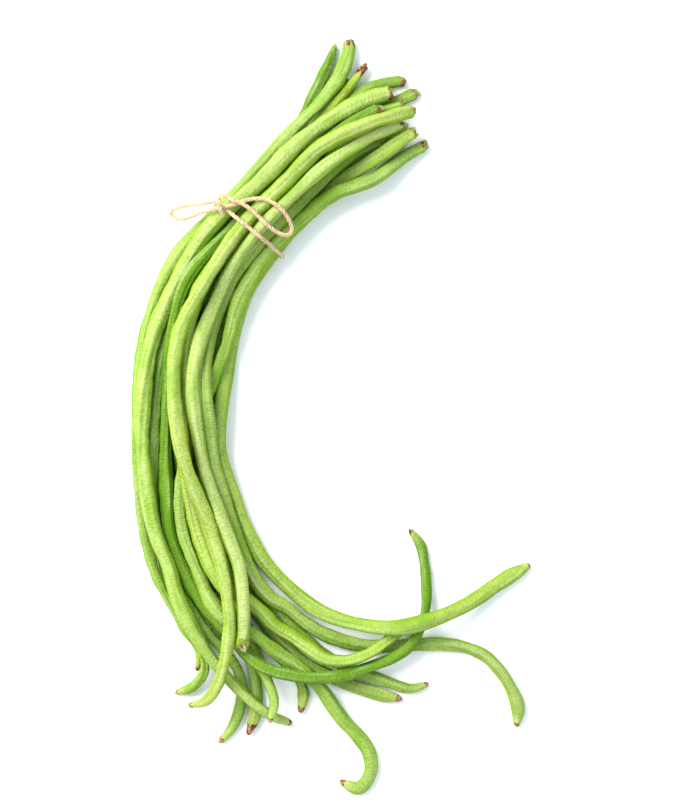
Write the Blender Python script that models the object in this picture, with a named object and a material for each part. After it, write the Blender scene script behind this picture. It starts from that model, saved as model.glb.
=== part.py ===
"""A bunch of yardlong beans lying on a table, gathered with one bow of twine.

Seventeen pods lie over each other. Each pod's route is given as seen from above. They are
stacked in the order of their rows, and the stack is then let down until it rests, which gives
every pod its height. The twine goes once round the gathered stems and ends in a bow.
Metres, +Z up, the table at z = 0.
"""

import math

import bpy
import numpy as np

MM = 0.001
GAP = 0.3 * MM  # clear space kept between pieces that touch

# Every piece is a tube of this many sides with a flat underneath, so a ring of it touches the
# table when its middle is at this share of its radius.
SIDES = 8
FLAT_SHARE = math.cos(math.pi / SIDES)

# Pods
POD_STEP = 10.5 * MM  # distance between the rings of a pod
THINNING = 0.03  # share of its radius that a pod loses from stem to tip
STEM_LENGTH = 16 * MM
STEM_SHARE = 0.84
TIP_LENGTH = 12 * MM
TIP_SHARE = 0.45
ROW_HEIGHT = 8 * MM  # height of one row of pods before the stack is let down

# Twine
TWINE_RADIUS = 1.0 * MM
TWINE_STEP = 2.6 * MM
WRAP_START = 155  # degrees round the gathered stems, counted from their right flank
WRAP_END = 490
WRAP_TURN = 15
UNDER_LENGTH = 64 * MM

# Letting down
TESTS = 6  # places between two rings that are tested for contact
FALL_STEPS = 900
REST_STEPS = 300  # steps at the end without any fall
EASE_STEPS = 200  # the last steps of the fall, which slow it down
PAIR_STEPS = 10  # steps after which touching places are looked up afresh
FALL_ROUNDS = 3  # times a step of the fall parts what overlaps
REST_ROUNDS = 6
FALL_SHARE = 0.005  # a step lowers a strand by this share of its height
FALL = 0.05 * MM  # and by this much more
STIFFNESS = 0.5
REST_STIFFNESS = 0.1
HOLD = 0.12  # share of its drift in plan that a strand takes back at each step
PUSH = 1.3  # over-relaxation of the contacts
TOUCH = 3 * MM  # strands closer than this are looked at for contact
SAME_STRAND = 4  # places of one strand fewer rings apart than this never count as touching
OVERLAP_LEFT = 0.1 * MM

# The gathered part of the bunch: places on its middle line in mm, and the heading, in degrees,
# of the line across it there. The second place is where the twine ties it.
STATIONS = [
    ((-9, 126), -49), ((-41, 96), -39), ((-63, 67), -26), ((-73, 31), -11), ((-77, -16), 6),
    ((-71, -51), 12),
]
TIE_STATION = 1
TIE_SHIFT = -2.5 * MM  # how far along the stems from its station the tie lies
TIP_FIRST = {1, 16}  # rows of the pods that lie with their tip at the gathered end

# One row a pod, from the lowest to the topmost, in mm: its radius, the route of its stem, how
# far it lies across the middle line at each station, and the route of its loose end.
PODS = [
    (3.3, [(2, 187), (-1, 178), (-7, 165), (-13, 153)],
     [-17, -11.5, -15, -15, -13, -13],
     [(-79, -72), (-71, -89), (-61, -106), (-53, -119)]),
    (3.5, [(7, 169), (-2, 157)],
     [-9.5, -4, -7.7, -8, -6, -6.5],
     [(-68, -79), (-56, -101), (-46, -115), (-41, -127), (-39, -141), (-39, -152),
      (-42, -161)]),
    (3.5, [(43, 163), (25, 154), (8, 141)],
     [-2, 3.5, -0.4, 0, 6.5, 9.5],
     [(-44, -86), (-30, -109), (-13, -126), (3, -133), (19, -138), (36, -142)]),
    (3.4, [(36, 139), (16, 129)],
     [5.5, 11, 14.3, 15, 14, 17],
     [(-45, -66), (-33, -91), (-16, -111), (4, -125), (22, -133), (37, -138), (44, -137),
      (49, -135)]),
    (2.7, [(17, 176), (5, 160)],
     [-13, -15, -19, -22, -20.5, -20],
     [(-87, -71), (-80, -91), (-71, -109), (-66, -119), (-68, -129)]),
    (3.4, [(37, 168), (20, 164), (7, 155)],
     [-6, -7.7, -4, -11, -12.5, -17],
     [(-83, -70), (-73, -91), (-60, -111), (-50, -123), (-45, -136), (-45, -144),
      (-48, -154), (-53, -161), (-57, -165)]),
    (3.4, [(36, 155), (14, 146)],
     [1, -0.3, 3.3, -3.5, 0, 0],
     [(-62, -76), (-47, -101), (-28, -119), (-17, -130), (-14, -140), (-16, -150)]),
    (3.2, [(39, 144), (14, 134)],
     [1.8, 7.2, 7, 7.5, 13, 12],
     [(-54, -71), (-47, -94), (-41, -114), (-35, -127), (-30, -138), (-29, -145),
      (-31, -153)]),
    (3.85, [(42, 142), (27, 134)],
     [13, 14.5, 18, 19, 20, 23],
     [(-46, -57), (-39, -72), (-27, -83), (-7, -98), (12, -104), (32, -106), (51, -102),
      (70, -94), (89, -81), (96, -77), (100, -75)]),
    (3.65, [(48, 136), (34, 130), (16, 119)],
     [17.5, 15, 18, 19, 6, -5],
     [(-66, -81), (-55, -99), (-40, -108), (-27, -118), (-16, -126), (-6, -135),
      (5, -152), (16, -165), (20, -176), (16, -187), (4, -184)]),
    (3.3, [(9, 189), (7, 178), (2, 166), (-10, 150)],
     [-18, -14, -18.5, -21.5, -20, -21.5],
     [(-87, -79), (-78, -99), (-71, -111), (-64, -120), (-64, -128), (-68, -135),
      (-74, -139), (-79, -140)]),
    (3.5, [(26, 139), (9, 129)],
     [9.4, 9.5, 13, 11, 16.3, 19],
     [(-41, -77), (-32, -90), (-21, -97), (-7, -108), (12, -114), (34, -115), (56, -115),
      (75, -120), (88, -133), (94, -147), (93, -157)]),
    (3.7, [(32, 146), (12, 136)],
     [5.5, 3, 0, -0.5, 5, 2],
     [(-60, -76), (-53, -86), (-43, -92), (-35, -99), (-31, -104), (-18, -112), (-2, -122),
      (15, -121), (29, -114), (36, -109), (45, -104)]),
    (3.25, [(25, 153), (8, 143)],
     [-3.5, -4, -8, -6, -7, -12.3],
     [(-74, -79), (-62, -100), (-52, -109), (-37, -123), (-17, -129), (3, -130),
      (17, -126), (36, -116), (45, -101), (47, -86), (46, -70), (43, -62), (39, -57)]),
    (4.1, [(31, 161), (14, 156), (-1, 147)],
     [-9.5, -8, -12, -17, -17.3, -18.4],
     [(-82, -72), (-76, -92), (-65, -112), (-53, -130), (-37, -145), (-25, -153),
      (-20, -155)]),
    (3.6, [(37, 146), (19, 139), (2, 129)],
     [3.7, 6.3, 9.4, 6, 11.4, 16],
     [(-46, -74), (-44, -94), (-44, -104), (-45, -115)]),
    (3.7, [(41, 152), (24, 145), (2, 134)],
     [-0.6, -0.5, 1.3, -4.2, 3, 8.8],
     [(-61, -55), (-55, -72), (-51, -88), (-49, -104), (-52, -122), (-57, -135),
      (-63, -142), (-72, -146)]),
]

# Two pods lie low in the bunch but have a loose end that lies over others: the pod's row, the
# length of that end in mm, and its row there.
LOOSE_ENDS = {8: (20, 15.5), 9: (115, 15.5)}

# The bow in mm: left ear out and back, right ear out and back, and a last turn over the knot.
BOW = [
    (-58.5, 105.5, 24.5), (-64.3, 105, 19.5), (-73, 104.7, 12), (-78.5, 103.4, 7),
    (-81.3, 102.1, 3.5), (-80.4, 100, 3.5), (-74.4, 98.6, 8.5), (-68.8, 99.5, 16),
    (-62.5, 101, 23.5), (-57, 101.9, 27.5), (-51.8, 102.8, 29), (-47.3, 103.9, 29.3),
    (-41.6, 105.9, 29), (-35.8, 106.7, 29.7), (-30.9, 105.7, 30.2), (-25.5, 102.3, 30.6),
    (-21.3, 97.3, 28), (-19.5, 92.5, 25), (-20.4, 89.6, 24.7), (-23.6, 89.1, 26),
    (-28.5, 91.4, 28), (-33.3, 95.4, 29.5), (-38.2, 100.2, 30.5), (-43.9, 104, 31.7),
    (-47.9, 105.5, 32.2), (-51, 106.8, 32.3), (-53.6, 108.4, 31.8), (-55.2, 107, 31.8),
    (-54.8, 103.8, 31.5), (-54.2, 100.8, 30.2), (-53.6, 98.9, 28.8),
]


def smooth_route(points):
    """Dense Catmull-Rom curve through the route's points."""
    points = np.array(points, float)
    ends = np.vstack([2 * points[0] - points[1], points, 2 * points[-1] - points[-2]])
    t = np.linspace(0, 1, 20, endpoint=False)[:, None]
    pieces = []
    for a, b, c, d in zip(ends[:-3], ends[1:-2], ends[2:-1], ends[3:], strict=True):
        pieces.append(
            b + 0.5 * t * (c - a)
            + t**2 * (a - 2.5 * b + 2 * c - 0.5 * d)
            + t**3 * (1.5 * b - 0.5 * a - 1.5 * c + 0.5 * d)
        )
    return np.vstack([*pieces, points[-1:]])


def distances(curve):
    """How far along a curve each of its points lies."""
    return np.r_[0, np.cumsum(np.linalg.norm(np.diff(curve, axis=0), axis=1))]


def spaced(curve, step):
    """The same curve with points about a step apart."""
    along = distances(curve)
    places = np.linspace(0, along[-1], round(along[-1] / step) + 1)
    return np.stack([np.interp(places, along, c) for c in curve.T], axis=1)


def pod_route(stem, lanes, loose_end):
    """A pod's route in mm: its stem, its lane through the gathered bunch, its loose end."""
    gathered = []
    for ((x, y), heading), lane in zip(STATIONS, lanes, strict=True):
        turn = math.radians(heading)
        gathered.append((x + lane * math.cos(turn), y + lane * math.sin(turn)))
    return stem + gathered + loose_end


def pod_radii(places, radius):
    """A pod's radius along its length: a narrower stem, a slow thinning, and a drawn-out tip."""
    length = places[-1]
    body = radius * (1 - THINNING * places / length)
    stem = STEM_SHARE + (1 - STEM_SHARE) * np.clip(places / STEM_LENGTH, 0, 1)
    to_tip = np.clip((length - places) / TIP_LENGTH, 0, 1)
    tip = TIP_SHARE + (1 - TIP_SHARE) * np.sqrt(to_tip * (2 - to_tip))
    return body * stem * tip


def stacked_pod(number):
    """The rings and radii of one pod, high in the stack in the order of its row."""
    radius, stem, lanes, loose_end = PODS[number - 1]
    plan = spaced(smooth_route(pod_route(stem, lanes, loose_end)) * MM, POD_STEP)
    places = distances(plan)
    rows = np.full(len(places), float(number))
    if number in LOOSE_ENDS:
        length, row = LOOSE_ENDS[number]
        rows[places > places[-1] - length * MM] = row
    radii = pod_radii(places, radius * MM)
    if number in TIP_FIRST:
        radii = radii[::-1]
    return np.column_stack([plan, rows * ROW_HEIGHT]), radii


def tie_frame():
    """The middle of the tie on the table, the way across the stems there, and along them."""
    (x, y), heading = STATIONS[TIE_STATION]
    turn = math.radians(heading)
    across = np.array([math.cos(turn), math.sin(turn), 0])
    along = np.array([-math.sin(turn), math.cos(turn), 0])
    return np.array([x, y, 0]) * MM + TIE_SHIFT * along, across, along


def under_strand():
    """The twine where it passes under the gathered stems."""
    middle, across, _ = tie_frame()
    shares = np.linspace(-0.5, 0.5, 8)[:, None]
    rings = middle + shares * UNDER_LENGTH * across
    rings[:, 2] = TWINE_RADIUS
    return rings, np.full(len(rings), TWINE_RADIUS)


class Strands:
    """Pods and twine as rings on their middle lines; the first few can be let down."""

    def __init__(self, strands, movers):
        """Take each strand's rings and radii; strands after the movers stay where they are."""
        counts = [len(rings) for rings, _ in strands]
        self.middle = np.vstack([rings for rings, _ in strands])
        self.plan = self.middle * (1, 1, 0)
        self.radii = np.concatenate([radii for _, radii in strands])
        stops = np.cumsum(counts)
        self.spans = [slice(stop - n, stop) for stop, n in zip(stops, counts, strict=True)]
        self.movers = movers
        self.free = np.zeros(len(self.middle), bool)
        self.free[:stops[movers - 1]] = True
        tests = [stop - n + np.linspace(0, n - 1, TESTS * n) for stop, n in
                 zip(stops, counts, strict=True)]
        self.at = at = np.concatenate(tests)
        self.owner = np.repeat(np.arange(len(strands)), [len(t) for t in tests])
        self.before = np.minimum(at.astype(int), stops[self.owner] - 2)
        self.share = (at - self.before)[:, None]
        self.reach = self.at_tests(self.radii[:, None])[:, 0]

    def at_tests(self, values):
        return values[self.before] * (1 - self.share) + values[self.before + 1] * self.share

    def near_pairs(self):
        """Pairs of tested places that are near enough to touch soon."""
        here = self.at_tests(self.middle)
        first, second = [], []
        for number in range(self.movers):
            a = np.nonzero(self.owner == number)[0]
            b = np.nonzero(self.owner >= number)[0]
            apart = ((here[a][:, None] - here[b]) ** 2).sum(axis=2)
            near = apart < (self.reach[a][:, None] + self.reach[b] + TOUCH) ** 2
            further = self.at[b] - self.at[a][:, None] > SAME_STRAND
            i, j = np.nonzero(near & (further | (self.owner[b] > number)))
            first.append(a[i])
            second.append(b[j])
        return np.concatenate(first), np.concatenate(second)

    def bend(self, share):
        """Even out sharp changes in how far the rings have moved from their routes."""
        moved = self.middle - self.plan
        for span in self.spans[:self.movers]:
            curl = np.zeros_like(moved[span])
            curl[1:-1] = np.diff(moved[span], 2, axis=0)
            spread = -2 * curl
            spread[:-1] += curl[1:]
            spread[1:] += curl[:-1]
            moved[span] -= share / 16 * spread
        self.middle[self.free] = (self.plan + moved)[self.free]

    def push_apart(self, first, second):
        """Part the places that overlap and keep every ring off the table; the worst overlap."""
        here = self.at_tests(self.middle)
        apart = here[first] - here[second]
        distance = np.linalg.norm(apart, axis=1)
        overlap = self.reach[first] + self.reach[second] + GAP - distance
        touching = overlap > 0
        half = apart * (overlap / np.maximum(distance, 1e-9) / 2)[:, None]
        total = np.zeros_like(self.middle)
        weight = np.zeros(len(self.middle))
        for places, move in ((first[touching], half[touching]), (second[touching], -half[touching])):
            for ring, share in (
                (self.before[places], 1 - self.share[places]),
                (self.before[places] + 1, self.share[places]),
            ):
                np.add.at(total, ring, move * share)
                np.add.at(weight, ring, share[:, 0])
        pushed = self.middle + total / np.maximum(weight, 1)[:, None] * PUSH
        pushed[:, 2] = np.maximum(pushed[:, 2], self.radii * FLAT_SHARE)
        self.middle[self.free] = pushed[self.free]
        return overlap.max()

    def settle(self, steps):
        """Lower the free rings over some steps, then part them until they only touch."""
        for step in range(steps + REST_STEPS):
            if step % PAIR_STEPS == 0:
                first, second = self.near_pairs()
            falling = step < steps
            if falling:
                ease = min(1, (steps - step) / EASE_STEPS)
                drift = HOLD * (self.plan - self.middle)
                drift[:, 2] = -ease * (FALL_SHARE * self.middle[:, 2] + FALL)
                self.middle[self.free] += drift[self.free]
            self.bend(STIFFNESS if falling else REST_STIFFNESS)
            for _ in range(FALL_ROUNDS if falling else REST_ROUNDS):
                worst = self.push_apart(first, second)
            if not falling and worst < GAP / 10:
                break
        if worst > OVERLAP_LEFT:
            raise RuntimeError("the strands did not come to rest")

    def crossings(self):
        """Where strands cross the tie's plane: place across it, height, radius as cut by it."""
        middle, across, along = tie_frame()
        here = self.at_tests(self.middle) - middle
        beside = here @ along
        crossed = (beside[:-1] * beside[1:] <= 0) & (np.diff(self.owner) == 0)
        crossed &= self.owner[1:] < self.movers
        crossed &= np.abs(here[1:] @ across) < UNDER_LENGTH / 2
        k = np.nonzero(crossed)[0]
        way = here[k + 1] - here[k]
        share = (beside[k] / (beside[k] - beside[k + 1]))[:, None]
        place = here[k] + share * way
        slant = np.abs(way @ along) / np.linalg.norm(way, axis=1)
        return np.column_stack([place @ across, place[:, 2]]), self.reach[k] / slant


def wrapped_twine(pods):
    """The rings of the twine: once round the outline of the gathered stems, then the bow."""
    middle, across, _ = tie_frame()
    centres, radii = pods.crossings()
    radii = radii + TWINE_RADIUS + GAP
    outside = 1 / math.cos(math.radians(WRAP_TURN / 2))
    wrap = []
    for angle in np.radians(np.arange(WRAP_START, WRAP_END + 1, WRAP_TURN)):
        way = np.array([math.cos(angle), math.sin(angle)])
        k = np.argmax(centres @ way + radii)
        across_place, height = centres[k] + radii[k] * outside * way
        wrap.append(middle + across_place * across + (0, 0, max(height, TWINE_RADIUS)))
    wrap = spaced(np.array(wrap), TWINE_STEP)
    bow = spaced(smooth_route([wrap[-1] / MM, *BOW]) * MM, TWINE_STEP)
    rings = np.vstack([wrap, bow[1:]])
    return rings, np.full(len(rings), TWINE_RADIUS)


def tube(name, points, radii, material, collection):
    """A closed tube through the points, with a flat of its outline facing down."""
    curve = bpy.data.curves.new(name, "CURVE")
    curve.dimensions = "3D"
    curve.bevel_depth = 1.0
    curve.bevel_resolution = SIDES // 2 - 2
    curve.use_fill_caps = True
    curve.twist_mode = "Z_UP"
    spline = curve.splines.new("POLY")
    spline.points.add(len(points) - 1)
    for place, point, radius in zip(spline.points, points, radii, strict=True):
        place.co = (*point, 1)
        place.radius = radius
        place.tilt = math.pi / SIDES
    curve.materials.append(material)
    collection.objects.link(bpy.data.objects.new(name, curve))


def principled(name, colour, roughness):
    """A plain material of one colour and roughness."""
    material = bpy.data.materials.new(name)
    material.use_nodes = True
    shader = material.node_tree.nodes["Principled BSDF"]
    shader.inputs["Base Color"].default_value = (*colour, 1)
    shader.inputs["Roughness"].default_value = roughness
    return material


def main():
    """Build the bunch."""
    for thing in list(bpy.data.objects):
        bpy.data.objects.remove(thing)
    bunch = bpy.data.collections.new("yardlong_bean_bunch")
    bpy.context.scene.collection.children.link(bunch)

    stack = [stacked_pod(number) for number in range(1, len(PODS) + 1)]
    pods = Strands([*stack, under_strand()], len(stack))
    pods.settle(FALL_STEPS)
    pod_rings = [(pods.middle[span], pods.radii[span]) for span in pods.spans[:len(stack)]]

    twine = Strands([wrapped_twine(pods), *pod_rings], 1)
    twine.settle(0)

    edge = twine.radii[:, None]
    centre = ((twine.middle - edge).min(axis=0) + (twine.middle + edge).max(axis=0)) / 2
    centre[2] = 0
    for number, (rings, radii) in enumerate(pod_rings, 1):
        shade = 0.9 + 0.02 * (number % 7)
        green = principled(f"bean_green_{number:02d}", (0.30 * shade, 0.52 * shade, 0.07), 0.45)
        tube(f"bean_{number:02d}", rings - centre, radii, green, bunch)
    string = twine.spans[0]
    cream = principled("twine_cream", (0.85, 0.62, 0.40), 0.85)
    tube("twine", twine.middle[string] - centre, twine.radii[string], cream, bunch)


main()
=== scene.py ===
import math

import bmesh
import bpy
import numpy as np
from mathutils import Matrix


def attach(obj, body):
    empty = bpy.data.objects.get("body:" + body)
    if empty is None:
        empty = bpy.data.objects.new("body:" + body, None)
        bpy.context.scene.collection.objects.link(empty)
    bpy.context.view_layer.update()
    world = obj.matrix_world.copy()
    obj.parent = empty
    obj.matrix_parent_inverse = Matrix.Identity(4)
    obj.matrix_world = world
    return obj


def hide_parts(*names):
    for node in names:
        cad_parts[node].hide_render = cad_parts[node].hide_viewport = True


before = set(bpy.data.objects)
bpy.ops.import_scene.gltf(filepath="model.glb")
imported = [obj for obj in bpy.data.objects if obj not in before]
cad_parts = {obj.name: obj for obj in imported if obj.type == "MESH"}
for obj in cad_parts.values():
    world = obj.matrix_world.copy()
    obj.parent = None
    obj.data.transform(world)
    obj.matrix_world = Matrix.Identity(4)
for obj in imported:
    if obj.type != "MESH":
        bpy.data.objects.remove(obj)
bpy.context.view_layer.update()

# The table: a plain white top, wide enough to fill the view, seen from straight above. It is only
# what the bunch lies on, so it belongs to the stage.
TABLE_SIDE = 6.0
TABLE_WHITE = (0.97, 0.965, 1.0, 1)
TABLE_ROUGHNESS = 0.7
bm = bmesh.new()
bmesh.ops.create_grid(bm, x_segments=1, y_segments=1, size=TABLE_SIDE / 2)
table_mesh = bpy.data.meshes.new("table")
bm.to_mesh(table_mesh)
bm.free()
table = bpy.data.objects.new("table", table_mesh)
bpy.context.scene.collection.objects.link(table)
table_white = bpy.data.materials.new("table_white")
table_white.use_nodes = True
table_shader = table_white.node_tree.nodes["Principled BSDF"]
table_shader.inputs["Base Color"].default_value = TABLE_WHITE
table_shader.inputs["Roughness"].default_value = TABLE_ROUGHNESS
table_mesh.materials.append(table_white)

# The light: a bright even studio, with one large soft lamp up on the left that gives each pod a
# lit side and lays a faint shadow on the table to its right.
LAMPS = (  # each with its place and size in metres, its power in watts and its colour
    ("key_lamp", (-0.82, 0.62, 1.08), 1.05, 38.0, (1.0, 0.96, 0.91)),
    ("fill_lamp", (0.7, -0.3, 1.3), 1.0, 3.0, (0.94, 0.97, 1.0)),
)
STUDIO_COLOUR = (0.87, 0.95, 1.0, 1)
STUDIO_STRENGTH = 0.97
for name, place, size, power, colour in LAMPS:
    light = bpy.data.lights.new(name, "AREA")
    light.shape = "DISK"
    light.size = size
    light.energy = power
    light.color = colour
    lamp = bpy.data.objects.new(name, light)
    lamp.location = place
    aim = -lamp.location
    lamp.rotation_euler = aim.to_track_quat("-Z", "Y").to_euler()
    bpy.context.scene.collection.objects.link(lamp)
studio = bpy.data.worlds.new("studio")
studio.use_nodes = True
studio.node_tree.nodes["Background"].inputs["Color"].default_value = STUDIO_COLOUR
studio.node_tree.nodes["Background"].inputs["Strength"].default_value = STUDIO_STRENGTH
bpy.context.scene.world = studio
bpy.context.scene.view_settings.view_transform = "Standard"

# The camera: straight over the bunch, a little to the right of its middle, where the loose ends
# curl away.
MM = 0.001
LENS_MM = 100
SENSOR_MM = 36
VIEW_HEIGHT = 402.5 * MM
VIEW_X = 8.5 * MM
VIEW_Y = 6.0 * MM
PODS_LEVEL = 10 * MM
FARTHEST = 20
lens = bpy.data.cameras.new("camera")
lens.lens = LENS_MM
lens.sensor_width = SENSOR_MM
lens.clip_end = FARTHEST
camera = bpy.data.objects.new("camera", lens)
camera.location = (VIEW_X, VIEW_Y, PODS_LEVEL + VIEW_HEIGHT * LENS_MM / SENSOR_MM)
bpy.context.scene.collection.objects.link(camera)
bpy.context.scene.camera = camera


# The pods: whole green yardlong beans, each a long soft hull over a row of seeds, with a seam on
# two sides, a blunt broken stem end and a drawn-out tip. They are grown in one piece and lie
# where the model has them, so each is built round the middle line of its own solid.
MERGE = 0.01 * MM
SEAM_RIDGE = 1.25 * MM  # how far from the middle of a seam its two ridges run

# Noise over a straightened pod: how fine it is, how it is squeezed across, up and along the pod,
# and where it isn't 1, its detail.
SEED_DRIFT = (30.0, (1, 1, 1))
RIDGE_SWELL = (26.0, (0, 0, 1))
RIBS = (330.0, (1, 1, 0.05))
DENTS = (120.0, (1, 1, 0.3), 0.0)
FOLDS = (560.0, (0.5, 0.5, 1))
FOLD_PATCHES = (90.0, (1, 1, 0.5))
RAGS = (330.0, (1, 1, 1))


def middle_line(node, ring_edge):
    """A CAD tube's rings, from its wider end on: their centres and radii.

    Vertices joined by an edge shorter than ring_edge are on the same ring.
    """
    solid = bmesh.new()
    solid.from_mesh(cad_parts[node].data)
    bmesh.ops.remove_doubles(solid, verts=solid.verts, dist=MERGE)
    solid.verts.ensure_lookup_table()
    solid.verts.index_update()
    ring_of = {}
    rings = []
    for vert in solid.verts:
        if vert.index in ring_of:
            continue
        ring_of[vert.index] = len(rings)
        front = [vert]
        ring = [vert.index]
        while front:
            here = front.pop()
            for edge in here.link_edges:
                other = edge.other_vert(here)
                if other.index not in ring_of and edge.calc_length() < ring_edge:
                    ring_of[other.index] = len(rings)
                    ring.append(other.index)
                    front.append(other)
        rings.append(np.array([solid.verts[k].co[:] for k in sorted(ring)]))
    centres = [ring.mean(axis=0) for ring in rings]
    radii = [np.linalg.norm(ring - c, axis=1).mean() for ring, c in zip(rings, centres)]
    beside = [set() for _ in rings]
    for edge in solid.edges:
        a, b = (ring_of[vert.index] for vert in edge.verts)
        if a != b:
            beside[a].add(b)
            beside[b].add(a)
    solid.free()
    ends = [k for k in range(len(rings)) if len(beside[k]) == 1]
    chain = [max(ends, key=lambda k: (round(radii[k], 5), centres[k][1]))]
    while len(chain) < len(rings):
        here = centres[chain[-1]]
        ahead = beside[chain[-1]].difference(chain)
        chain.append(min(ahead, key=lambda k: np.linalg.norm(centres[k] - here)))
    return np.array([centres[k] for k in chain]), np.array([radii[k] for k in chain])


def distances(points):
    """How far along a line each of its points lies."""
    return np.r_[0, np.cumsum(np.linalg.norm(np.diff(points, axis=0), axis=1))]


def smooth_values(spots, values, at):
    """Values at places along a line, on a smooth curve through those given at its spots."""
    slopes = np.gradient(values, spots, axis=0)
    k = np.clip(np.searchsorted(spots, at, side="right") - 1, 0, len(spots) - 2)
    span = spots[k + 1] - spots[k]
    t = (at - spots[k]) / span
    if values.ndim > 1:
        span = span[:, None]
        t = t[:, None]
    return (
        values[k] * (1 + 2 * t) * (1 - t) ** 2
        + slopes[k] * span * t * (1 - t) ** 2
        + values[k + 1] * t * t * (3 - 2 * t)
        + slopes[k + 1] * span * t * t * (t - 1)
    )


def path_object(name, points, **values):
    """A line of points with named values on them, for a tree of nodes to work on."""
    mesh = bpy.data.meshes.new(name)
    mesh.from_pydata(points.tolist(), [(k, k + 1) for k in range(len(points) - 1)], [])
    for key, numbers in values.items():
        numbers = np.asarray(numbers, float)
        kind = "FLOAT" if numbers.ndim == 1 else "FLOAT_VECTOR"
        field = "value" if numbers.ndim == 1 else "vector"
        mesh.attributes.new(key, kind, "POINT").data.foreach_set(field, numbers.ravel())
    thing = bpy.data.objects.new(name, mesh)
    bpy.context.scene.collection.objects.link(thing)
    return thing


def add(tree, kind, *feeds, out=0, **settings):
    """A node of this kind, fed in the order of its sockets; the output asked for.

    A feed is another node's output, a value, or None to leave the socket as it is.
    """
    node = tree.nodes.new(kind)
    for key, value in settings.items():
        setattr(node, key, value)
    sockets = [socket for socket in node.inputs if socket.enabled]
    for socket, feed in zip(sockets, feeds):
        if isinstance(feed, bpy.types.NodeSocket):
            tree.links.new(feed, socket)
        elif feed is not None:
            socket.default_value = feed
    return node.outputs[out]


def calc(tree, operation, *feeds, clamp=False):
    """A Math node's output."""
    return add(tree, "ShaderNodeMath", *feeds, operation=operation, use_clamp=clamp)


def attribute(tree, name, kind="FLOAT"):
    """A value that the mesh has on its points, in a tree of geometry nodes."""
    return add(tree, "GeometryNodeInputNamedAttribute", name, data_type=kind)


def bell(tree, value, width):
    """1 where the value is 0, and falling to nothing over a few widths."""
    ratio = calc(tree, "DIVIDE", value, width)
    square = calc(tree, "MULTIPLY", ratio, ratio)
    return calc(tree, "EXPONENT", calc(tree, "MULTIPLY", square, -1))


def scaled(tree, vector, factor):
    """A vector times a number."""
    node = add(tree, "ShaderNodeVectorMath", vector, operation="SCALE").node
    tree.links.new(factor, node.inputs["Scale"])
    return node.outputs[0]


def geometry_tree(name, inputs):
    """A tree of geometry nodes with named inputs; the tree, its first geometry and its inputs."""
    tree = bpy.data.node_groups.new(name, "GeometryNodeTree")
    tree.interface.new_socket("Geometry", in_out="INPUT", socket_type="NodeSocketGeometry")
    for key, kind, value in inputs:
        socket = tree.interface.new_socket(key, in_out="INPUT", socket_type=kind)
        if value is not None:
            socket.default_value = value
    tree.interface.new_socket("Geometry", in_out="OUTPUT", socket_type="NodeSocketGeometry")
    entry = tree.nodes.new("NodeGroupInput")
    return tree, entry.outputs["Geometry"], {key: entry.outputs[key] for key, _, _ in inputs}


def finish_tree(tree, geometry, material):
    """Realize what is instanced, give it the material, and end the tree."""
    smooth = add(tree, "GeometryNodeSetShadeSmooth", geometry)
    real = add(tree, "GeometryNodeRealizeInstances", smooth)
    painted = add(tree, "GeometryNodeSetMaterial", real, None, material)
    tree.links.new(painted, tree.nodes.new("NodeGroupOutput").inputs[0])


def grown(thing, tree, inputs):
    """Run the tree on a thing with these inputs, and keep the result as its plain mesh."""
    modifier = thing.modifiers.new(tree.name, "NODES")
    modifier.node_group = tree
    sockets = {item.name: item.identifier for item in tree.interface.items_tree}
    for key, value in inputs.items():
        modifier[sockets[key]] = value
    bpy.context.view_layer.update()
    seen = thing.evaluated_get(bpy.context.evaluated_depsgraph_get())
    mesh = bpy.data.meshes.new_from_object(seen)
    thing.modifiers.remove(modifier)
    old = thing.data
    thing.data = mesh
    mesh.name = thing.name
    bpy.data.meshes.remove(old)


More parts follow.
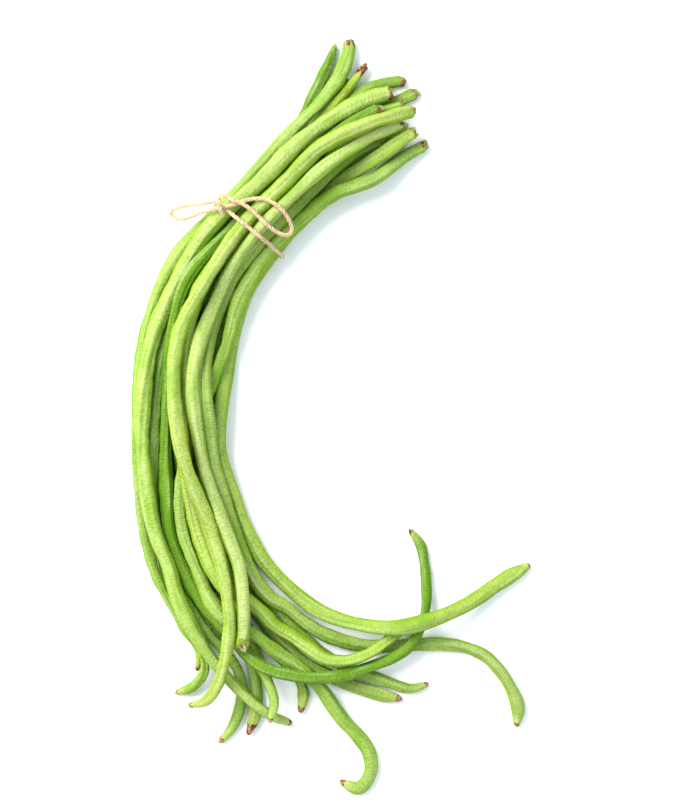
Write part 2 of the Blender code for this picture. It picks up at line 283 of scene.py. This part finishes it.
def pod_tree():
    """Sweeps a pod's hull along its line, then raises its seeds, seams, ribs, dents and folds."""
    tree, line, given = geometry_tree("pod_hull", (
        ("Sides", "NodeSocketInt", 36),
        ("Seed spacing", "NodeSocketFloat", 13 * MM),
        ("Seed height", "NodeSocketFloat", 0.16 * MM),
        ("Flatness", "NodeSocketFloat", 0.10),
        ("Ridge distance", "NodeSocketFloat", SEAM_RIDGE),
        ("Ridge width", "NodeSocketFloat", 0.5 * MM),
        ("Ridge height", "NodeSocketFloat", 0.40 * MM),
        ("Rib height", "NodeSocketFloat", 1.3 * MM),
        ("Dent depth", "NodeSocketFloat", 1.3 * MM),
        ("Fold depth", "NodeSocketFloat", 0.13 * MM),
        ("Rag", "NodeSocketFloat", 2.6 * MM),
        ("Lowest", "NodeSocketFloat", 0.02 * MM),
        ("Pod", "NodeSocketFloat", 1.0),
        ("Skin", "NodeSocketMaterial", None),
    ))
    curve = add(tree, "GeometryNodeMeshToCurve", line)
    curve = add(tree, "GeometryNodeSetCurveTilt", curve, None, attribute(tree, "twist"))
    circle = add(tree, "GeometryNodeCurvePrimitiveCircle", given["Sides"], 1.0)
    keep = tree.nodes.new("GeometryNodeCaptureAttribute")
    keep.capture_items.new("FLOAT", "Turn")
    tree.links.new(circle, keep.inputs["Geometry"])
    tree.links.new(add(tree, "GeometryNodeSplineParameter"), keep.inputs["Turn"])
    hull = add(
        tree, "GeometryNodeCurveToMesh", curve, keep.outputs["Geometry"],
        attribute(tree, "girth"), True,
    )
    angle = calc(tree, "MULTIPLY", keep.outputs["Turn"], 2 * math.pi)
    across = calc(tree, "COSINE", angle)
    upright = calc(tree, "SINE", angle)
    girth = attribute(tree, "girth")
    along = attribute(tree, "along")
    straight = add(
        tree, "ShaderNodeCombineXYZ",
        calc(tree, "MULTIPLY", across, girth), calc(tree, "MULTIPLY", upright, girth), along,
    )
    shift = add(tree, "ShaderNodeCombineXYZ", given["Pod"], 0.0, 0.0)
    own = add(tree, "ShaderNodeVectorMath", straight, shift, operation="ADD")

    def cloud(scale, stretch, detail=1.0):
        """Noise on the straightened pod, from -1 to 1."""
        place = add(tree, "ShaderNodeVectorMath", own, stretch, operation="MULTIPLY")
        noise = add(tree, "ShaderNodeTexNoise", place, scale, detail, noise_dimensions="3D")
        return calc(tree, "SUBTRACT", calc(tree, "MULTIPLY", noise, 2.0), 1.0)

    # Each seed lifts the broad sides of the hull, not its seams.
    beat = calc(tree, "DIVIDE", along, given["Seed spacing"])
    beat = calc(tree, "ADD", beat, cloud(*SEED_DRIFT))
    wave = calc(tree, "COSINE", calc(tree, "MULTIPLY", beat, 2 * math.pi))
    broad = calc(tree, "MULTIPLY", across, across)
    seeds = calc(tree, "MULTIPLY", calc(tree, "MULTIPLY", wave, broad), given["Seed height"])

    # The hull is a little flat, and each seam is a channel between two ridges.
    oval = calc(tree, "MULTIPLY", calc(tree, "SUBTRACT", broad, 0.5), given["Flatness"])
    oval = calc(tree, "MULTIPLY", oval, girth)
    from_seam = calc(tree, "MULTIPLY", across, girth)
    from_ridge = calc(tree, "ABSOLUTE", from_seam)
    from_ridge = calc(tree, "SUBTRACT", from_ridge, given["Ridge distance"])
    swell = calc(tree, "ADD", cloud(*RIDGE_SWELL), 0.75)
    ridges = calc(tree, "MULTIPLY", bell(tree, from_ridge, given["Ridge width"]), swell)
    ridges = calc(tree, "MULTIPLY", ridges, given["Ridge height"])

    # Ribs run lengthwise where the hull has dried a little, dents go in where it gives, and fine
    # folds run across it.
    rib = calc(tree, "MULTIPLY", cloud(*RIBS), given["Rib height"])
    dent = calc(tree, "MULTIPLY", cloud(*DENTS), given["Dent depth"])
    fold = calc(tree, "MULTIPLY", cloud(*FOLDS), given["Fold depth"])
    patchy = calc(tree, "ADD", cloud(*FOLD_PATCHES), 0.8, clamp=True)
    fold = calc(tree, "MULTIPLY", fold, patchy)

    relief = calc(tree, "ADD", calc(tree, "ADD", seeds, oval), ridges)
    for part in (rib, dent, fold):
        relief = calc(tree, "ADD", relief, part)
    relief = calc(tree, "MULTIPLY", relief, attribute(tree, "fullness"))
    normal = add(tree, "GeometryNodeInputNormal")
    lift = scaled(tree, normal, relief)

    # The stem end is broken off aslant, with a ragged rim.
    rag = calc(tree, "MULTIPLY", cloud(*RAGS), given["Rag"])
    back = calc(tree, "MULTIPLY", attribute(tree, "slant"), from_seam)
    back = calc(tree, "ADD", back, rag)
    back = calc(tree, "MULTIPLY", back, attribute(tree, "broken"))
    back = calc(tree, "ADD", back, attribute(tree, "dish"))
    push = scaled(tree, attribute(tree, "tangent", "FLOAT_VECTOR"), back)
    moved = add(tree, "ShaderNodeVectorMath", lift, push, operation="ADD")
    # Which way the hull faces, for the skin's painted light on top and painted shade on the
    # sides.
    upward = add(tree, "ShaderNodeSeparateXYZ", normal, out="Z")
    for name, value, kind in (
        ("straight", own, "FLOAT_VECTOR"), ("seam", from_seam, "FLOAT"),
        ("upward", upward, "FLOAT"),
    ):
        hull = add(
            tree, "GeometryNodeStoreNamedAttribute", hull, None, name, value,
            data_type=kind, domain="POINT",
        )
    hull = add(tree, "GeometryNodeSetPosition", hull, None, None, moved)

    # Nothing goes through the table.
    place = add(tree, "ShaderNodeSeparateXYZ", add(tree, "GeometryNodeInputPosition")).node
    height = calc(tree, "MAXIMUM", place.outputs["Z"], given["Lowest"])
    above = add(
        tree, "ShaderNodeCombineXYZ", place.outputs["X"], place.outputs["Y"], height,
    )
    hull = add(tree, "GeometryNodeSetPosition", hull, None, above)
    finish_tree(tree, hull, given["Skin"])
    return tree


# The tints that a pod's own colour is multiplied by, and the colours that are laid over it. The
# first two tints are painted light and shade: a paler top and darker sides, as the lamp would
# give.
PAINTED_TOP_LIGHT_TINT = (1.08, 1.03, 2.1, 1)
PAINTED_SIDE_SHADE_TINT = (0.64, 0.86, 0.10, 1)
DEEP_TINT = (0.44, 0.72, 0.10, 1)
BLOOM = (0.52, 0.62, 0.28, 1)
SEAM_BROWN = (0.20, 0.20, 0.06, 1)
TIP_YELLOW = (0.48, 0.51, 0.13, 1)
TIP_TAN = (0.41, 0.23, 0.12, 1)
TIP_DARK = (0.09, 0.035, 0.018, 1)
TIP_EDGE = (0.09, 0.045, 0.02, 1)
RIM_TAN = (0.42, 0.27, 0.12, 1)
BARK_BROWN = (0.24, 0.09, 0.045, 1)
BARK_DARK = (0.055, 0.022, 0.014, 1)
LIP_BROWN = (0.26, 0.11, 0.06, 1)
PITH_GREEN = (0.46, 0.47, 0.20, 1)
PITH_BROWN = (0.20, 0.09, 0.035, 1)
MIX_FACTOR, MIX_A, MIX_B, MIX_COLOUR = 0, 6, 7, 2  # a Mix node's sockets for colours


def pod_skin():
    """The hull's skin: green with paler seams, fine wrinkles across it, and browned ends.

    Its top has painted light, and its sides and the hollows of its folds have painted shade.
    """
    material = bpy.data.materials.new("pod_skin")
    material.use_nodes = True
    tree = material.node_tree
    shader = tree.nodes["Principled BSDF"]

    def read(name, out="Fac"):
        return add(tree, "ShaderNodeAttribute", attribute_name=name, out=out)

    def blend(factor, a, b):
        """Colour a, going over to colour b where the factor is 1."""
        mix = tree.nodes.new("ShaderNodeMix")
        mix.data_type = "RGBA"
        for index, feed in ((MIX_FACTOR, factor), (MIX_A, a), (MIX_B, b)):
            if isinstance(feed, bpy.types.NodeSocket):
                tree.links.new(feed, mix.inputs[index])
            else:
                mix.inputs[index].default_value = feed
        return mix.outputs[MIX_COLOUR]

    def tinted(tint):
        """The colour so far, multiplied by a tint."""
        mixed = blend(1.0, colour, tint)
        mixed.node.blend_type = "MULTIPLY"
        return mixed

    def noise(vector, scale, detail=2.0, stretch=(1, 1, 1)):
        place = add(tree, "ShaderNodeVectorMath", vector, stretch, operation="MULTIPLY")
        return add(tree, "ShaderNodeTexNoise", place, scale, detail)

    def step(value, low, high):
        """From 0 at the low value to 1 at the high one, with a soft start and end."""
        node = tree.nodes.new("ShaderNodeMapRange")
        node.interpolation_type = "SMOOTHSTEP"
        node.clamp = True
        tree.links.new(value, node.inputs["Value"])
        node.inputs["From Min"].default_value = low
        node.inputs["From Max"].default_value = high
        return node.outputs["Result"]

    straight = read("straight", "Vector")
    colour = read("skin", "Vector")

    # Painted light and shade: the skin is painted paler where it faces up and a deeper green on
    # the sides that face away, as the lamp would light and shade them.
    colour = blend(step(read("upward"), 0.45, 1.0), colour, tinted(PAINTED_TOP_LIGHT_TINT))
    colour = blend(step(read("upward"), 0.8, -0.1), colour, tinted(PAINTED_SIDE_SHADE_TINT))

    # Each pod is clouded with a deeper green, and streaked lengthwise with a dull pale bloom.
    deep = tinted(DEEP_TINT)
    cloud = noise(straight, 160.0, 3.0, (1, 1, 0.3))
    colour = blend(calc(tree, "MULTIPLY", step(cloud, 0.42, 0.78), 0.8), colour, deep)
    streak = noise(straight, 620.0, 2.0, (1, 1, 0.03))
    colour = blend(calc(tree, "MULTIPLY", step(streak, 0.5, 0.76), 0.4), colour, BLOOM)

    # The hollows of the fine folds are painted with shade, flecks are darker, the seam's ridges
    # are silvery here and there, and its middle is a fine brownish line.
    fold = noise(straight, 1150.0, 2.0, (0.38, 0.38, 1.15))
    colour = blend(calc(tree, "MULTIPLY", step(fold, 0.52, 0.36), 0.46), colour, deep)
    fleck = noise(straight, 900.0, 1.0)
    colour = blend(calc(tree, "MULTIPLY", step(fleck, 0.64, 0.72), 0.3), colour, deep)
    here = noise(straight, 45.0)
    from_seam = calc(tree, "ABSOLUTE", read("seam"))
    ridge = bell(tree, calc(tree, "SUBTRACT", from_seam, SEAM_RIDGE), 0.4 * MM)
    ridge = calc(tree, "MULTIPLY", ridge, step(here, 0.46, 0.66))
    colour = blend(calc(tree, "MULTIPLY", ridge, 0.35), colour, BLOOM)
    seam = calc(tree, "MULTIPLY", bell(tree, from_seam, 0.3 * MM), step(here, 0.56, 0.40))
    colour = blend(calc(tree, "MULTIPLY", seam, 0.65), colour, SEAM_BROWN)

    # The tip is raggedly brown at its very end, with darker edges, over a pale yellowish part.
    ragged = noise(straight, 520.0, 2.0, (1, 1, 0.4))
    to_tip = calc(tree, "DIVIDE", read("to_tip"), read("tip_brown"))
    to_tip = calc(tree, "ADD", to_tip, calc(tree, "MULTIPLY", ragged, 1.6))
    tip_pale = calc(tree, "SUBTRACT", 1, step(to_tip, 1.6, 4.6))
    colour = blend(calc(tree, "MULTIPLY", tip_pale, 0.45), colour, TIP_YELLOW)
    tip_dark = calc(tree, "SUBTRACT", 1, step(to_tip, 1.55, 1.75))
    rust = blend(step(ragged, 0.36, 0.50), TIP_DARK, TIP_TAN)
    brown = blend(step(to_tip, 1.4, 1.6), rust, TIP_EDGE)
    colour = blend(tip_dark, colour, brown)

    # The stem end is browned in crusty patches back from its broken rim, and its face is tan.
    patch = noise(straight, 300.0, 3.0, (1, 1, 0.45))
    rim = calc(tree, "DIVIDE", read("along"), read("stem_brown"))
    rim = calc(tree, "ADD", rim, calc(tree, "MULTIPLY", step(patch, 0.37, 0.54), 1.3))
    rim_tan = calc(tree, "SUBTRACT", 1, step(rim, 0.9, 1.5))
    colour = blend(calc(tree, "MULTIPLY", rim_tan, 0.6), colour, RIM_TAN)
    rim_dark = calc(tree, "SUBTRACT", 1, step(rim, 0.75, 0.95))
    bark = blend(step(fleck, 0.42, 0.58), BARK_BROWN, BARK_DARK)
    colour = blend(rim_dark, colour, bark)
    lip = bell(tree, calc(tree, "SUBTRACT", read("along"), 0.6 * MM), 0.5 * MM)
    lip = calc(tree, "MULTIPLY", lip, step(ragged, 0.36, 0.48))
    colour = blend(lip, colour, LIP_BROWN)
    face = step(read("face"), 0.15, 0.4)
    heart = calc(tree, "MULTIPLY", step(read("face"), 0.6, 0.9), step(patch, 0.35, 0.5))
    pith = blend(heart, PITH_GREEN, PITH_BROWN)
    colour = blend(face, colour, pith)

    tree.links.new(colour, shader.inputs["Base Color"])
    shine = noise(straight, 300.0, 2.0, (1, 1, 0.5))
    rough = calc(tree, "ADD", calc(tree, "MULTIPLY", shine, 0.2), 0.48)
    tree.links.new(rough, shader.inputs["Roughness"])
    shader.inputs["Subsurface Weight"].default_value = 0.06
    shader.inputs["Subsurface Radius"].default_value = (0.5, 0.9, 0.1)
    shader.inputs["Subsurface Scale"].default_value = 1.0 * MM
    shader.inputs["Specular IOR Level"].default_value = 0.10

    pore = noise(straight, 2600.0, 2.0)
    rise = calc(tree, "ADD", fold, calc(tree, "MULTIPLY", pore, 0.25))
    bump = tree.nodes.new("ShaderNodeBump")
    bump.inputs["Strength"].default_value = 1.0
    bump.inputs["Distance"].default_value = 0.75 * MM
    tree.links.new(rise, bump.inputs["Height"])
    tree.links.new(bump.outputs["Normal"], shader.inputs["Normal"])
    return material


# Each pod's skin colour, how many mm of its tip and of its stem end are browned, the slant of its
# broken end, how far its seams are turned from the top, how much its stem end is swollen, and how
# much thinner it gets towards its tip.
PODS = {
    "bean_01": ((0.170, 0.282, 0.030), 0.5, 0.5, 0.0, 0.4, 0.00, 0.25),
    "bean_02": ((0.205, 0.330, 0.030), 6.4, 2.4, 0.2, 1.2, 0.02, 0.15),
    "bean_03": ((0.235, 0.345, 0.037), 3.9, 2.6, -0.3, 2.2, 0.05, 0.10),
    "bean_04": ((0.233, 0.353, 0.037), 2.4, 1.8, 0.2, 0.2, 0.05, 0.20),
    "bean_05": ((0.318, 0.425, 0.030), 2.2, 22.0, 0.5, 1.9, 0.04, 0.10),
    "bean_06": ((0.212, 0.340, 0.037), 3.7, 3.0, -0.3, 0.9, 0.06, 0.30),
    "bean_07": ((0.241, 0.374, 0.037), 3.4, 2.0, 0.2, 2.7, 0.06, 0.22),
    "bean_08": ((0.282, 0.416, 0.043), 2.8, 2.6, -0.2, 1.5, 0.06, 0.04),
    "bean_09": ((0.290, 0.405, 0.042), 1.4, 0.5, 0.1, 0.7, 0.00, 0.03),
    "bean_10": ((0.282, 0.409, 0.049), 2.6, 4.4, 0.3, 2.4, 0.04, 0.02),
    "bean_11": ((0.270, 0.409, 0.043), 2.4, 5.0, 0.1, 0.1, 0.10, 0.30),
    "bean_12": ((0.270, 0.374, 0.049), 2.2, 2.2, -0.2, 1.1, 0.06, 0.08),
    "bean_13": ((0.339, 0.457, 0.049), 2.2, 4.2, 0.2, 2.9, 0.10, 0.15),
    "bean_14": ((0.132, 0.262, 0.010), 2.8, 4.6, -0.4, 1.7, 0.06, 0.20),
    "bean_15": ((0.352, 0.462, 0.066), 2.6, 4.2, -0.3, 0.6, 0.04, 0.25),
    "bean_16": ((0.372, 0.455, 0.082), 4.1, 0.1, -0.95, 1.80, 0.34, 0.10),
    "bean_17": ((0.352, 0.450, 0.060), 4.2, 0.4, 0.2, 0.15, 0.00, 0.26),
}
POD_RING_EDGE = 5.2 * MM  # longer than the edges round a pod's ring, shorter than those along it
RING_STEP = 0.5 * MM
# The broken stem end: rings of a share of the full girth, pushed back into the pod by so many mm,
# and how much of the pith shows on each.
STEM_FACE = (
    (0.03, 0.9, 1.0), (0.25, 0.8, 0.75), (0.42, 0.35, 0.5), (0.55, 0.0, 0.3), (0.70, 0.25, 0.0),
    (0.84, 0.8, 0.0), (0.94, 1.6, 0.0),
)
FACE_STEP = 0.02 * MM
FACE_DEPTH = 2.5 * MM  # where the whole girth begins
TIP_ROUND = 2.0 * MM
TIP_RINGS = 8
TIP_CLOSED = 0.0004  # the share of the rounding that is left at its last ring, almost a point
COLLAR_REACH = 5 * MM
BREAK_REACH = 4 * MM  # how far from the stem end its slant and rags reach
WANDER = 0.55  # how far the seams wander round the pod
WANDER_LENGTH = 110 * MM
RELIEF = 0.25 * MM  # how far the seams and ribs stand out from the hull
STEM_SMOOTH = 3 * MM  # the relief begins over this length at the stem end
TIP_SMOOTH = 9 * MM  # and dies away over this one at the tip
TAPER_REACH = 110 * MM  # how far from its tip a pod starts to get thinner
TAPER_RISE = 1.3  # above 1, the full taper is reached before the tip
TAPER_ROUND = 14 * MM  # the taper lets off over this last length
TAPER_LEFT = 0.35  # to this share of it at the tip itself


def eased(value):
    """From 0 to 1, with a soft start and end."""
    value = np.clip(value, 0, 1)
    return value * value * (3 - 2 * value)


hull_tree = pod_tree()
skin = pod_skin()
for number, (node, traits) in enumerate(PODS.items(), 1):
    colour, tip_brown, stem_brown, slant, turn, swollen, taper = traits
    centres, radii = middle_line(node, POD_RING_EDGE)
    spots = distances(centres)
    length = spots[-1]
    face = np.arange(len(STEM_FACE)) * FACE_STEP
    body = np.arange(FACE_DEPTH, length - TIP_ROUND, RING_STEP)
    quarter = np.linspace(0, math.pi / 2, TIP_RINGS + 1)[1:]
    tip = length - TIP_ROUND * (1 - np.sin(quarter))
    along = np.r_[face, body, tip]
    to_tip = length - along

    # Where a pod gets thinner its line is let down by as much, so that it still lies on what is
    # under it.
    thinner = taper * eased(TAPER_RISE * (1 - to_tip / TAPER_REACH))
    thinner *= TAPER_LEFT + (1 - TAPER_LEFT) * eased(to_tip / TAPER_ROUND)
    girth = smooth_values(spots, radii, along)
    points = smooth_values(spots, centres, along)
    points[:, 2] -= girth * thinner
    girth = girth * (1 - thinner) - RELIEF
    tangent = np.gradient(points, along, axis=0)
    tangent /= np.linalg.norm(tangent, axis=1)[:, None]
    collar = 1 + swollen * np.exp(-((along / COLLAR_REACH) ** 2))
    to_end = np.clip(to_tip / TIP_ROUND, TIP_CLOSED, 1)
    tip_end = np.sqrt(to_end * (2 - to_end))
    rings = len(along)
    shares = np.ones(rings)
    dish = np.zeros(rings)
    pith = np.zeros(rings)
    shares[:len(face)], dish[:len(face)], pith[:len(face)] = zip(*STEM_FACE)
    phase = np.random.default_rng(number).uniform(0, 2 * math.pi)
    twist = turn + WANDER * np.sin(along / WANDER_LENGTH + phase)
    fullness = np.clip(along / STEM_SMOOTH, 0, 1) * np.clip(to_tip / TIP_SMOOTH, 0, 1)
    pod = path_object(
        "pod_" + node[-2:], points, along=along, to_tip=to_tip, twist=twist,
        girth=girth * collar * tip_end * shares, dish=dish * MM, tangent=tangent,
        fullness=fullness, face=pith, slant=np.full(rings, slant),
        broken=np.exp(-((along / BREAK_REACH) ** 2)), skin=np.tile(colour, (rings, 1)),
        tip_brown=np.full(rings, tip_brown * MM), stem_brown=np.full(rings, stem_brown * MM),
    )
    grown(pod, hull_tree, {"Pod": float(number), "Skin": skin})
    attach(pod, "root")
    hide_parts(node)

# The twine: one length of soft string of three plies laid together, passed once round the
# gathered stems and tied over them in a bow.
TWINE_REST = 1.08 * MM  # the least height of its line: the plies lie on the table there
TWINE_RING_EDGE = 1.3 * MM
TWINE_STEP = 0.35 * MM
PLIES = 3
PLY_SIDES = 12
YARN_DARK = (0.38, 0.20, 0.075, 1)
YARN_PALE = (0.71, 0.55, 0.35, 1)


def twine_tree():
    """Lays the plies round the twine's line."""
    tree, line, given = geometry_tree("laid_twine", (
        ("Ply radius", "NodeSocketFloat", 0.55 * MM),
        ("Ply offset", "NodeSocketFloat", 0.51 * MM),
        ("Lay length", "NodeSocketFloat", 8 * MM),
        ("Yarn", "NodeSocketMaterial", None),
    ))
    curve = add(tree, "GeometryNodeMeshToCurve", line)
    join = tree.nodes.new("GeometryNodeJoinGeometry")
    tangent = add(tree, "GeometryNodeInputTangent")
    normal = add(tree, "GeometryNodeInputNormal")
    side = add(tree, "ShaderNodeVectorMath", tangent, normal, operation="CROSS_PRODUCT")
    angle = calc(tree, "DIVIDE", attribute(tree, "along"), given["Lay length"])
    for ply in range(PLIES):
        turned = calc(tree, "ADD", angle, ply / PLIES)
        turned = calc(tree, "MULTIPLY", turned, 2 * math.pi)
        one = scaled(tree, normal, calc(tree, "COSINE", turned))
        other = scaled(tree, side, calc(tree, "SINE", turned))
        out = add(tree, "ShaderNodeVectorMath", one, other, operation="ADD")
        out = scaled(tree, out, given["Ply offset"])
        laid = add(tree, "GeometryNodeSetPosition", curve, None, None, out)
        circle = add(tree, "GeometryNodeCurvePrimitiveCircle", PLY_SIDES, 1.0)
        swept = add(tree, "GeometryNodeCurveToMesh", laid, circle, given["Ply radius"], True)
        tree.links.new(swept, join.inputs[0])
    finish_tree(tree, join.outputs[0], given["Yarn"])
    return tree


def yarn():
    """Soft cream fibre, mottled with a darker tan."""
    material = bpy.data.materials.new("twine_yarn")
    material.use_nodes = True
    tree = material.node_tree
    shader = tree.nodes["Principled BSDF"]
    place = add(tree, "ShaderNodeTexCoord", out="Object")
    fibre = add(tree, "ShaderNodeTexNoise", place, 1500.0, 3.0)
    ramp = tree.nodes.new("ShaderNodeValToRGB")
    ramp.color_ramp.elements[0].color = YARN_DARK
    ramp.color_ramp.elements[0].position = 0.34
    ramp.color_ramp.elements[1].color = YARN_PALE
    ramp.color_ramp.elements[1].position = 0.62
    tree.links.new(fibre, ramp.inputs["Fac"])
    tree.links.new(ramp.outputs["Color"], shader.inputs["Base Color"])
    shader.inputs["Roughness"].default_value = 0.85
    shader.inputs["Sheen Weight"].default_value = 0.3
    bump = tree.nodes.new("ShaderNodeBump")
    bump.inputs["Strength"].default_value = 0.6
    bump.inputs["Distance"].default_value = 0.15 * MM
    tree.links.new(fibre, bump.inputs["Height"])
    tree.links.new(bump.outputs["Normal"], shader.inputs["Normal"])
    return material


centres, _ = middle_line("twine", TWINE_RING_EDGE)
spots = distances(centres)
along = np.arange(0, spots[-1], TWINE_STEP)
twine_line = smooth_values(spots, centres, along)
twine_line[:, 2] = np.maximum(twine_line[:, 2], TWINE_REST)
twine = path_object("twine_bow", twine_line, along=along)
grown(twine, twine_tree(), {"Yarn": yarn()})
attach(twine, "root")
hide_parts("twine")
